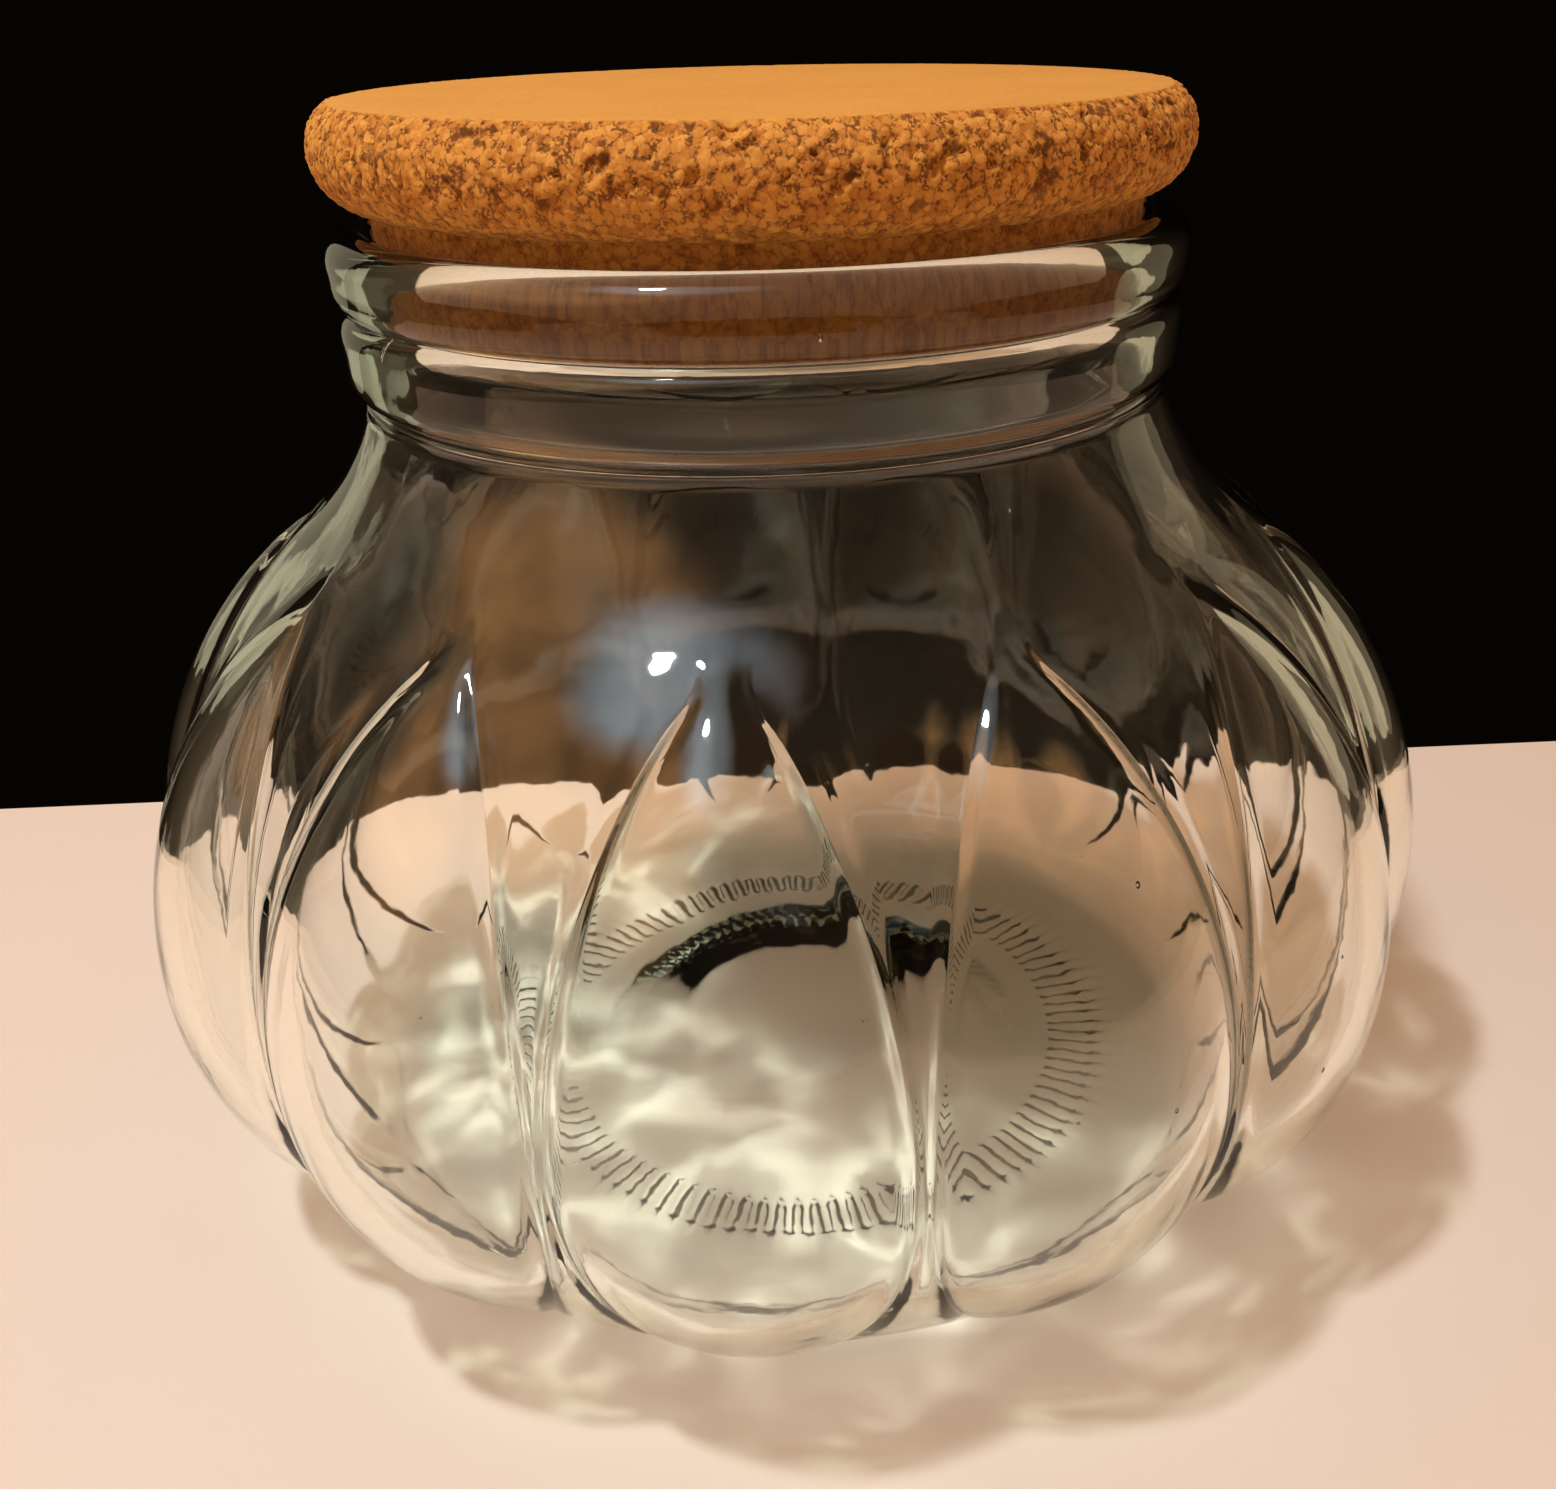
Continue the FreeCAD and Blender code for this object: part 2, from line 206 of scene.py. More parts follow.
def empty_nodes(owner):
    """The emptied node tree of a material or a world."""
    owner.use_nodes = True
    owner.node_tree.nodes.clear()
    return Nodes(owner.node_tree)


print("node trees are ready")

# %% [markdown]
# ## Outlines of turned forms
# Jar and lid are turned about one axis, so each starts as an outline of lines and arcs, the way a mould
# maker draws it, in millimetres. Each stretch says at which radius and height it ends, an arc also its
# own radius, and last how far apart its points lie. The outline is kept as loose points: the radius in X,
# the height in Z, and in Y how deep the surface lies inside the mould's surface. Other marks ride along
# as attributes of the points.


# %% Outline
class Outline:
    """Points along a turned form, with the marks that each stretch gives them."""

    def __init__(self, rad, height):
        self.points = [Vector((rad * MM, height * MM))]
        self.marks = [{}]

    def add(self, point, share, marks):
        """Adds a point; a mark given as a pair runs from its first to its second value on the stretch."""
        self.points.append(point)
        self.marks.append({})
        for name, value in marks.items():
            first, last = value if isinstance(value, tuple) else (value, value)
            self.marks[-1][name] = first + (last - first) * share

    def line(self, rad, height, gap, **marks):
        begin = self.points[-1]
        end = Vector((rad * MM, height * MM))
        steps = max(1, math.ceil((end - begin).length / (gap * MM)))
        for step in range(1, steps + 1):
            self.add(begin.lerp(end, step / steps), step / steps, marks)

    def arc(self, rad, height, radius, gap, hollow=False, **marks):
        """An arc that bulges to the right of the way it runs, or to the left where it is hollow."""
        begin = self.points[-1]
        end = Vector((rad * MM, height * MM))
        reach = radius * MM
        chord = end - begin
        right = Vector((chord.y, -chord.x)).normalized()
        back = math.sqrt(max(reach**2 - chord.length_squared / 4, 0))
        centre = (begin + end) / 2 + right * (back if hollow else -back)
        sweep = 2 * math.asin(min(1, chord.length / 2 / reach)) * (-1 if hollow else 1)
        first = math.atan2(begin.y - centre.y, begin.x - centre.x)
        steps = max(2, math.ceil(abs(sweep) * reach / (gap * MM)))
        for step in range(1, steps + 1):
            angle = first + sweep * step / steps
            point = centre + reach * Vector((math.cos(angle), math.sin(angle)))
            self.add(point, step / steps, marks)

    def normals(self):
        """The direction out of the form at each point: to the right of the way the outline runs."""
        last = len(self.points) - 1
        ways = [self.points[min(i + 1, last)] - self.points[max(i - 1, 0)] for i in range(last + 1)]
        return [Vector((way.y, -way.x)).normalized() for way in ways]

    def mesh(self, name):
        """Loose points for Geometry Nodes, with a number for each mark and the two parts of the normal."""
        made = bpy.data.meshes.new(name)
        depths = [mark.get("depth", 0.0) * MM for mark in self.marks]
        made.from_pydata([(point.x, depth, point.y) for point, depth in zip(self.points, depths)], [], [])
        names = sorted({key for mark in self.marks for key in mark} - {"depth"})
        numbers = {key: [float(mark.get(key, 0.0)) for mark in self.marks] for key in names}
        numbers["out"] = [normal.x for normal in self.normals()]
        numbers["up"] = [normal.y for normal in self.normals()]
        for key, values in numbers.items():
            made.attributes.new(key, "FLOAT", "POINT").data.foreach_set("value", values)
        return made


print("outlines are ready")

# %% [markdown]
# ## Turning an outline
# A Screw modifier would turn an outline into a plain round form. Here each point of the form has to be
# moved by its own rule, so a tree lays a grid instead: one row for each point of the outline, one column
# for each step round the axis. A piece reads the outline's radius, height and marks from the tree, works
# out where each point goes, and gets back a closed surface. At the end the result is kept as a plain
# mesh.

# %% Turned form
# A hair is added before rounding down, because a whole number may arrive a little too small.
HAIR = 1e-5
MERGE_GAP = 0.01 * MM


class TurnedForm(Nodes):
    """A Geometry Nodes tree, with a named input for each size, that turns an outline about the axis."""

    def __init__(self, name, outline, columns, sizes):
        super().__init__(bpy.data.node_groups.new(name, "GeometryNodeTree"))
        self.outline = outline
        self.sizes = {"Rows": len(outline.points), "Columns": columns, **sizes}
        interface = self.tree.interface
        interface.new_socket("Geometry", in_out="INPUT", socket_type="NodeSocketGeometry")
        for label, value in self.sizes.items():
            kind = "NodeSocketInt" if isinstance(value, int) else "NodeSocketFloat"
            interface.new_socket(label, in_out="INPUT", socket_type=kind)
        interface.new_socket("Geometry", in_out="OUTPUT", socket_type="NodeSocketGeometry")
        start = self.add("NodeGroupInput")
        self.given = {label: start.output(label) for label in ("Geometry", *self.sizes)}
        index = self.add("GeometryNodeInputIndex")
        self.column = (index / self.given["Rows"] + HAIR).apply("FLOOR")
        self.row = index - self.column * self.given["Rows"]
        point = self.sample("FLOAT_VECTOR", self.add("GeometryNodeInputPosition"))
        parts = self.add("ShaderNodeSeparateXYZ", {}, {0: point})
        self.rad, self.depth, self.height = (parts.output(part) for part in "XYZ")

    def sample(self, kind, value):
        """A value of the outline's point that this row of the grid stands for."""
        sockets = {"Geometry": self.given["Geometry"], "Value": value, "Index": self.row}
        return self.add("GeometryNodeSampleIndex", {"data_type": kind}, sockets)

    def mark(self, name):
        number = self.add("GeometryNodeInputNamedAttribute", {"data_type": "FLOAT"}, {"Name": name})
        return self.sample("FLOAT", number)

    def place(self, rad, around, height):
        parts = {0: rad * around.apply("COSINE"), 1: rad * around.apply("SINE"), 2: height}
        return self.add("ShaderNodeCombineXYZ", {}, parts)

    def surface(self, place, **marks):
        """The grid with its points in their places, closed at seam and poles; marks stay for materials."""
        counts = {"Vertices X": self.given["Columns"] + 1, "Vertices Y": self.given["Rows"]}
        grid = self.add("GeometryNodeMeshGrid", {}, counts)
        for name, value in marks.items():
            stored = {"Geometry": grid, "Name": name, "Value": value}
            grid = self.add("GeometryNodeStoreNamedAttribute", {"data_type": "FLOAT"}, stored)
        formed = self.add("GeometryNodeSetPosition", {}, {"Geometry": grid, "Position": place})
        closed = self.add("GeometryNodeMergeByDistance", {}, {"Geometry": formed, "Distance": MERGE_GAP})
        return self.add("GeometryNodeSetShadeSmooth", {}, {"Geometry": closed})

    def grow(self, name, geometry, material):
        """Ends the tree, runs it on the outline, keeps the result as a plain mesh and takes the modifier
        off.
        """
        real = self.add("GeometryNodeRealizeInstances", {}, {"Geometry": geometry})
        coated = self.add("GeometryNodeSetMaterial", {}, {"Geometry": real, "Material": material})
        self.add("NodeGroupOutput", {}, {"Geometry": coated})
        piece = bpy.data.objects.new(name, self.outline.mesh(name + "_outline"))
        bpy.context.collection.objects.link(piece)
        modifier = piece.modifiers.new("form", "NODES")
        modifier.node_group = self.tree
        for item in self.tree.interface.items_tree:
            if item.in_out == "INPUT" and item.name in self.sizes:
                modifier[item.identifier] = self.sizes[item.name]
        graph = bpy.context.evaluated_depsgraph_get()
        mesh = bpy.data.meshes.new_from_object(piece.evaluated_get(graph))
        piece.modifiers.remove(modifier)
        piece.data = mesh
        mesh.name = name
        triangles = sum(len(face.vertices) - 2 for face in mesh.polygons)
        print(name, len(mesh.vertices), "points,", triangles, "triangles")
        return piece


print("turned forms are ready")

# %% [markdown]
# ## The glass jar's outline
# The outline runs from the middle of the base over the foot ring, up the flank and the shoulder, over
# ring and lip, and down the inside to the floor. The lobes come later, so this is the plain round jar
# between them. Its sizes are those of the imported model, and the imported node's box gives the top. The
# pushed-up base, the floor above it and the fine mould line below the ring are drawn as the photograph
# shows them.

# %% Jar outline
JAR_TOP = jar_high.z / MM
WALL = 4.5
BELLY_RAD = 116.6
BELLY_HEIGHT = 56
TIP_RAD = 83.3
TIP_HEIGHT = 125.3
MOUTH_RAD = 62.4
LIP_RAD = 70.5
RING_RAD = 70.2

# The pushed-up base
jar_line = Outline(0, 8.8)
jar_line.arc(22, 8.5, 807, 6, hollow=True)
jar_line.arc(28, 7.4, 18, 1.5, hollow=True)
jar_line.line(46.5, 1.7, 3.5)
jar_line.arc(50, 1.0, 10, 1.2)
jar_line.line(57, 0.9, 3.0)
# The knurled foot ring
jar_line.arc(59.5, 0, 4.2, 0.7, knurl=(0.3, 1.0))
jar_line.line(65, 0, 0.9, knurl=1.0)
jar_line.arc(67.5, 0.9, 4.4, 0.7, knurl=(1.0, 0.3))
# Heel, flank, shoulder and flared neck
jar_line.line(86.38, 1.5, 5)
jar_line.arc(91.41, 3.28, 8, 1.1)
jar_line.arc(BELLY_RAD, BELLY_HEIGHT, 67.77, 3.1, lobed=1)
jar_line.arc(TIP_RAD, TIP_HEIGHT, 88.76, 2.8, lobed=1)
jar_line.arc(67.9, 146.3, 46, 2.0, hollow=True, lobed=(1, 0.2))
# A fine mould line, then ring and lip
jar_line.line(68.2, 146.7, 0.4)
jar_line.line(67.7, 147.0, 0.4)
jar_line.line(67.4, 148.2, 0.8)
jar_line.arc(RING_RAD, 151.6, 3.6, 0.8)
jar_line.line(RING_RAD, 157.2, 1.4)
jar_line.arc(67.0, 160.9, 3.9, 0.8)
jar_line.arc(LIP_RAD, 164.4, 3.7, 0.8)
jar_line.line(LIP_RAD, 167.54, 1.2)
jar_line.arc(65.64, JAR_TOP, 4.86, 0.8)
jar_line.line(65.32, JAR_TOP, 1)
jar_line.arc(MOUTH_RAD, 169.48, 2.916, 0.8)
# The mouth's bore, then the inside down to the floor
jar_line.line(MOUTH_RAD, 159.44, 3.4)
jar_line.arc(80.49, 121.79, 48.22, 3.8, depth=WALL, lobed=(0.2, 1))
jar_line.arc(112.1, BELLY_HEIGHT, 84.26, 3.8, hollow=True, depth=WALL, lobed=1)
jar_line.arc(94.48, 12.19, 63.27, 3.8, hollow=True, depth=WALL, lobed=1)
jar_line.arc(84.5, 7.3, 13.5, 1.6, hollow=True, depth=WALL)
jar_line.line(56, 7.6, 8, depth=WALL)
jar_line.arc(46, 8.4, 62, 2.6, hollow=True, depth=WALL)
jar_line.line(34, 10.3, 4.5, depth=WALL)
jar_line.arc(24, 11.1, 62, 2.6, depth=WALL)
jar_line.arc(0, 11.2, 2880, 8, depth=WALL)
print("jar outline:", len(jar_line.points), "points")

# %% [markdown]
# ## Glass
# Pressed glass of this kind is clear in a thin wall and green where the eye looks along it, at lip and
# heel. A coloured surface would tint it evenly, so the surface stays clear and the green is in the
# volume: the longer the way through the glass, the deeper the colour. A faint bump gives the skin its
# ripple. A short render can't follow a lamp's light through curved glass, and would leave a black shadow.
# So for rays on their way to a lamp the glass is a dim filter with a net of bright lines, like those in
# the shadow of a real jar.

# %% Glass finish
BEND_REACH = 30 * MM
LINE_EDGES = (0.03, 0.2)

glass = bpy.data.materials.new("green_tinted_glass")
glass_nodes = empty_nodes(glass)
on_glass = glass_nodes.add("ShaderNodeTexCoord").output("Object")
ripple = glass_nodes.noise(on_glass, scale=160.0, detail=2.0)
ripple_bump = {"Height": ripple, "Strength": 0.15, "Distance": 0.2 * MM}
clear_skin = {
    "Base Color": (1, 1, 1, 1),
    "Roughness": 0.03,
    "IOR": 1.5,
    "Transmission Weight": 1.0,
    "Normal": glass_nodes.add("ShaderNodeBump", {}, ripple_bump),
}
clear = glass_nodes.add("ShaderNodeBsdfPrincipled", {}, clear_skin)

bend = glass_nodes.noise(on_glass, scale=40.0, detail=1.0, out="Color")
bent = glass_nodes.vector("MULTIPLY_ADD", {0: bend, 1: (BEND_REACH,) * 3, 2: on_glass})
cells = {"Vector": bent, "Scale": 38.0}
net = glass_nodes.add("ShaderNodeTexVoronoi", {"feature": "DISTANCE_TO_EDGE"}, cells)
bright_line = glass_nodes.add("ShaderNodeBsdfTransparent", {}, {"Color": (0.93, 0.92, 0.90, 1)})
dim_field = glass_nodes.add("ShaderNodeBsdfTransparent", {}, {"Color": (0.22, 0.21, 0.20, 1)})
lines = {0: net.step(*LINE_EDGES), 1: bright_line, 2: dim_field}
light_filter = glass_nodes.add("ShaderNodeMixShader", {}, lines)
lamp_ray = glass_nodes.add("ShaderNodeLightPath").output("Is Shadow Ray")
glass_surface = glass_nodes.add("ShaderNodeMixShader", {}, {0: lamp_ray, 1: clear, 2: light_filter})
green_depth = {"Color": (0.45, 0.85, 0.5, 1), "Density": 12.0}
glass_volume = glass_nodes.add("ShaderNodeVolumeAbsorption", {}, green_depth)
glass_nodes.add("ShaderNodeOutputMaterial", {}, {"Surface": glass_surface, "Volume": glass_volume})
print("finish:", glass.name)

# %% [markdown]
# ## The lobes of the jar
# Each lobe is a slice of a spindle: a fat curve turned about its own upright axis inside the wall. One
# lobe could be modelled and repeated, but the glass runs on between the lobes, so it is one surface that
# follows a rule: at each height the radius is the larger of the round jar's and the lobe's, with a soft
# turn where they meet. Three quarters of the columns are on the lobe and close up towards its edge, so
# that the groove stays crisp.

# %% Jar tree and its sizes
LOBES = 13
COLUMNS_IN_LOBE = 32
KNURLS_IN_LOBE = 8

jar_sizes = {
    "Lobes": LOBES,
    "Belly Height": BELLY_HEIGHT * MM,
    "Spindle Axis": 78.6 * MM,
    "Crest Axis": 41.64 * MM,
    "Crest Round": 80.86 * MM,
    "Keel Axis": 63.97 * MM,
    "Keel Round": 58.53 * MM,
    "Outer Blend": 0.6 * MM,
    "Inner Blend": 2 * MM,
    "Crease Depth": 0.7 * MM,
    "Crease Width": 1.8 * MM,
    "Knurls": LOBES * KNURLS_IN_LOBE,
    "Knurl Depth": 1.9 * MM,
    "Waviness": 0.45 * MM,
    "Seam Angle": math.radians(-68.3),
    "Seam Rise": 0.15 * MM,
    "Seeds": 130.0,
}
jar_form = TurnedForm("jar form", jar_line, LOBES * COLUMNS_IN_LOBE, jar_sizes)
jar_given = jar_form.given
print("jar tree:", len(jar_form.sizes), "named sizes")

# %% Where a lobe ends and how its columns lie
EDGE_COLUMNS = 0.75
NARROWEST_LOBE = 0.2
WIDEST_LOBE = 0.95

pitch = math.tau / jar_given["Lobes"]
half_pitch = pitch * 0.5
turn = jar_form.column * jar_given["Lobes"] / jar_given["Columns"]
lobe_number = (turn + HAIR).apply("FLOOR")
across = (turn - lobe_number) * 2 - 1
off_middle = abs(across)
lobed = jar_form.mark("lobed")
rise = jar_form.height - jar_given["Belly Height"]


def crest_radius(axis, rounding):
    """How far out a lobe's crest lies, on an arc that shrinks by the depth in the wall."""
    reach = (jar_given[rounding] - jar_form.depth).apply("POWER", 2) - rise * rise
    return jar_given[axis] + reach.apply("SQRT")


above_belly = rise > 0
crest = crest_radius("Crest Axis", "Crest Round") * above_belly
crest = crest + crest_radius("Keel Axis", "Keel Round") * (1 - above_belly)
spindle = jar_given["Spindle Axis"]
fat = (crest - spindle).apply("MAXIMUM", 0.0)

round_rad = jar_form.rad
edge_cosine = (spindle * spindle + round_rad * round_rad - fat * fat) / (2 * spindle * round_rad)
edge = edge_cosine.clamp(-1.0, 1.0).apply("ARCCOSINE")
edge = edge.clamp(half_pitch * NARROWEST_LOBE, half_pitch * WIDEST_LOBE)
edge = edge * lobed + half_pitch * EDGE_COLUMNS * (1 - lobed)
on_lobe = (off_middle / EDGE_COLUMNS).apply("MINIMUM", 1.0)
past_lobe = (off_middle - EDGE_COLUMNS).apply("MAXIMUM", 0.0)
angle = edge * (on_lobe * (math.pi / 2)).apply("SINE")
angle = angle + (half_pitch - edge) * past_lobe / (1 - EDGE_COLUMNS)
angle = angle * lobed + half_pitch * off_middle * (1 - lobed)
jar_around = lobe_number * pitch + across.apply("SIGN") * angle
print("columns close up towards the edges of", LOBES, "lobes")

# %% Radius of the lobes, with a crease along each petal
CREASE_END = (TIP_HEIGHT + 2) * MM
CREASE_FADE = 9 * MM
CREASE_START = (6 * MM, 15 * MM)

inner = jar_form.depth > 0
off_axis = spindle * angle.apply("SINE")
swell = fat * fat - off_axis * off_axis
lobe_rad = (spindle * angle.apply("COSINE") + swell.apply("SQRT")) * (swell > 0) * (lobed > 0)
blend = jar_given["Outer Blend"] * (1 - inner) + jar_given["Inner Blend"] * inner
jar_rad = round_rad + (round_rad.apply("SMOOTH_MAX", lobe_rad, blend) - round_rad) * (lobed > 0)

from_edge = abs(angle - edge) * jar_rad
fade_out = (CREASE_END - jar_form.height).step(0.0, CREASE_FADE)
creased = lobed * fade_out * jar_form.height.step(*CREASE_START) * (1 - inner)
crease = 1 - (from_edge / jar_given["Crease Width"]).step(0.0, 1.0)
jar_rad = jar_rad - creased * jar_given["Crease Depth"] * crease
print("creases end at", round(CREASE_END, 4), "m")

# %% [markdown]
# ## The marks of the mould
# Pressed glass keeps what its mould and its cooling left: knurls under the foot that let air pass, a thin
# seam on each side of the neck where the mould's halves met, slow waves, strongest on the inside, which
# no mould touched, and small bubbles, called seeds, in the wall. Knurls and seams are cosines and bands
# round the axis, the waves are noise, and the seeds are small hollow balls scattered on the wall and
# moved into it.

# %% Knurls, waves and seam
OUTER_WAVES = 0.25
CALM_RAD = 20 * MM
SEAM_HALF_WIDTH = 0.55 * MM
SEAM_INNERMOST = 66 * MM

teeth = 0.5 + 0.5 * (jar_around * jar_given["Knurls"]).apply("COSINE")
jar_height = jar_form.height + jar_form.mark("knurl") * jar_given["Knurl Depth"] * teeth

smooth_place = jar_form.place(jar_rad, jar_around, jar_height)
wave = jar_form.noise(smooth_place, scale=45.0, detail=1.0)
sunk = wave * jar_given["Waviness"] * (OUTER_WAVES + inner)
jar_rad = jar_rad - sunk * jar_form.mark("out") * (jar_rad / CALM_RAD).apply("MINIMUM", 1.0)
jar_height = jar_height - sunk * jar_form.mark("up") * inner

from_seam = abs((jar_around - jar_given["Seam Angle"]).apply("WRAP", math.pi / 2, -math.pi / 2)) * jar_rad
on_seam = (from_seam < SEAM_HALF_WIDTH) * (jar_height > TIP_HEIGHT * MM) * (jar_rad > SEAM_INNERMOST)
jar_rad = jar_rad + on_seam * jar_given["Seam Rise"]
jar_wall = jar_form.surface(jar_form.place(jar_rad, jar_around, jar_height))
print("knurls:", jar_sizes["Knurls"])

# %% Seeds, and the finished jar
SEED_RAD = 0.38 * MM
SEED_DEPTH = 0.48 * WALL * MM

spots = {"Mesh": jar_wall, "Density": jar_given["Seeds"], "Seed": 7}
scatter = jar_form.add("GeometryNodeDistributePointsOnFaces", {}, spots)
into_wall = jar_form.vector("SCALE", {0: scatter.output("Normal"), "Scale": -SEED_DEPTH})
in_wall = jar_form.add("GeometryNodeSetPosition", {}, {"Geometry": scatter, "Offset": into_wall})
ball = jar_form.add("GeometryNodeMeshIcoSphere", {}, {"Radius": SEED_RAD, "Subdivisions": 2})
hollow_ball = jar_form.add("GeometryNodeFlipFaces", {}, {"Mesh": ball})
smooth_ball = jar_form.add("GeometryNodeSetShadeSmooth", {}, {"Geometry": hollow_ball})
stretches = {"Min": (0.5, 0.5, 0.6), "Max": (1.2, 1.2, 1.9), "Seed": 3}
stretch = jar_form.add("FunctionNodeRandomValue", {"data_type": "FLOAT_VECTOR"}, stretches)
laid = {"Points": in_wall, "Instance": smooth_ball, "Scale": stretch}
seeds = jar_form.add("GeometryNodeInstanceOnPoints", {}, laid)
seeded_wall = jar_form.add("GeometryNodeJoinGeometry", {}, {"Geometry": [jar_wall, seeds]})
jar = jar_form.grow("lobed_jar", seeded_wall, glass)
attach(jar, "jar")
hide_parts("glass_jar")

# %% [markdown]
# ## The cork lid's outline
# The lid is turned from one block of pressed cork: a disc with a round side, and below it a plug that
# tapers into the mouth. The outline runs from the middle of the plug's underside to the middle of the
# top. Its mark, grain, says how rough the skin is: torn on the side, pressed smoother on the plug, and
# sanded flat on the top.

# %% Lid outline
LID_TOP = lid_high.z / MM
LID_BOTTOM = lid_low.z / MM
DISC_RAD = lid_high.x / MM
DISC_BOTTOM = LID_TOP - 14.5
WIDEST_HEIGHT = DISC_BOTTOM + 7.83

# The plug
lid_line = Outline(0, LID_BOTTOM)
lid_line.line(60.5, LID_BOTTOM, 6, grain=0.25)
lid_line.line(61.5, LID_BOTTOM + 1, 0.6, grain=0.5)
lid_line.line(DISC_RAD - 7.4, DISC_BOTTOM, 0.6, grain=0.6)
# The disc
lid_line.line(DISC_RAD - 6.8, DISC_BOTTOM, 0.5, grain=0.5)
lid_line.arc(DISC_RAD, WIDEST_HEIGHT, 7.91, 0.5, grain=(0.4, 1))
lid_line.arc(DISC_RAD - 3.8, LID_TOP, 7.75, 0.5, grain=1)
lid_line.line(DISC_RAD - 4.6, LID_TOP, 0.4, grain=(0.6, 0.05))
lid_line.line(0, LID_TOP, 6)
print("lid outline:", len(lid_line.points), "points")

# %% [markdown]
# ## Granules
# Pressed cork is crumbs of bark of about a millimetre, glued under pressure. Cells of a Voronoi texture
# are as close-packed as the crumbs, but their straight edges look cut, so the place they are read at is
# warped first. Form and colour both use this one pattern, so that each crumb stands out as far as its own
# brown reaches.

# %% Granule pattern
GRANULE = 1.3 * MM
GRANULE_WARP = (1.5 * MM, 1.5 * MM, 0.9 * MM)
GRANULE_SIDES = (0.15, 0.75)
PIT_EDGES = (0.58, 0.66)


def granules(nodes, where, size):
    """Warped cells: how far down a granule's side a point is, the granule's own number, and the pits."""
    warp = nodes.noise(where, scale=850.0, detail=2.0, out="Color")
    warped = nodes.vector("MULTIPLY_ADD", {0: warp, 1: GRANULE_WARP, 2: where})
    cell = nodes.add("ShaderNodeTexVoronoi", {}, {"Vector": warped, "Scale": 1 / size})
    number = nodes.add("ShaderNodeSeparateXYZ", {}, {0: cell.output("Color")})
    hole = nodes.noise(where, scale=380.0, detail=2.0)
    return cell.step(*GRANULE_SIDES), number, hole.step(*PIT_EDGES)


print("granules of", round(GRANULE, 4), "m")

# %% [markdown]
# ## Cork
# Each granule has its own brown, with finer specks in it. Gaps and pits are painted nearly black as shade,
# because no light gets in. The sanded top has cut the granules open, so its browns lie closer together.
# The plug sits in the lid's shadow inside the jar's mouth, so its brown is darkened with painted shade.
# The grain mark of the form tells the torn side from the sanded top, and the height finds the plug.

# %% Cork finish
GRANULE_BROWNS = [
    (0.1, (0.76, 0.37, 0.07)),
    (0.45, (0.66, 0.29, 0.05)),
    (0.7, (0.54, 0.21, 0.032)),
    (1.0, (0.36, 0.12, 0.016)),
]
SANDED_BROWNS = [
    (0.3, (0.56, 0.26, 0.048)),
    (0.55, (0.64, 0.31, 0.060)),
    (0.8, (0.68, 0.34, 0.075)),
]
GAP_BROWN = (0.10, 0.03, 0.006, 1)
# Painted shade for the plug, which sits in the lid's shadow inside the jar's mouth.
PLUG_PAINTED_SHADE = (0.10, 0.035, 0.006, 1)
GAP_SHADE = 0.8
PLUG_SHADE_SHARE = 0.75
PLUG_EDGES = ((JAR_TOP - 3) * MM, (DISC_BOTTOM + 3) * MM)
TORN_SKIN = (0.1, 0.35)
GAP_SIDES = (0.55, 1.0)
GAP_SPECKS = (0.4, 0.55)

cork = bpy.data.materials.new("pressed_cork")
cork_nodes = empty_nodes(cork)
on_cork = cork_nodes.add("ShaderNodeTexCoord").output("Object")
torn = cork_nodes.add("ShaderNodeAttribute", {"attribute_name": "grain"}).output("Fac")
side, own_tone, pit = granules(cork_nodes, on_cork, GRANULE)
fine = cork_nodes.noise(on_cork, scale=2200.0, detail=3.0)
speck = cork_nodes.noise(on_cork, scale=1300.0, detail=3.0)
broad = cork_nodes.noise(on_cork, scale=60.0, detail=2.0)

# The side term darkens each granule towards its edge, where the relief sinks: a little painted shade on its
# own brown.
darkness = own_tone * 0.55 + fine * 0.55 + side * 0.15 - 0.05
granule_brown = cork_nodes.add("ShaderNodeValToRGB", {"stops": GRANULE_BROWNS}, {0: darkness})
# Gaps and pits are painted nearly black: painted shade where no light gets in.
gap = (side.step(*GAP_SIDES) * fine.step(*GAP_SPECKS)).apply("MAXIMUM", pit) * torn
torn_brown = cork_nodes.mix(gap * GAP_SHADE, granule_brown, GAP_BROWN)
cloudiness = speck * 0.7 + broad * 0.3
sanded_brown = cork_nodes.add("ShaderNodeValToRGB", {"stops": SANDED_BROWNS}, {0: cloudiness})
skin_brown = cork_nodes.mix(torn.step(*TORN_SKIN), sanded_brown, torn_brown)
level = cork_nodes.add("ShaderNodeSeparateXYZ", {}, {0: on_cork}).output("Z")
# Where the plug is, below the disc, its brown is darkened: painted shade from the lid above it.
on_plug = 1 - level.step(*PLUG_EDGES)

cork_bump = {"Height": fine + speck, "Strength": 0.5, "Distance": 0.15 * MM}
cork_skin = {
    "Base Color": cork_nodes.mix(PLUG_SHADE_SHARE * on_plug, skin_brown, PLUG_PAINTED_SHADE),
    "Roughness": 0.75 + 0.2 * fine,
    "Specular IOR Level": 0.25,
    "Normal": cork_nodes.add("ShaderNodeBump", {}, cork_bump),
}
cork_surface = cork_nodes.add("ShaderNodeBsdfPrincipled", {}, cork_skin)
cork_nodes.add("ShaderNodeOutputMaterial", {}, {"Surface": cork_surface})
print("finish:", cork.name)

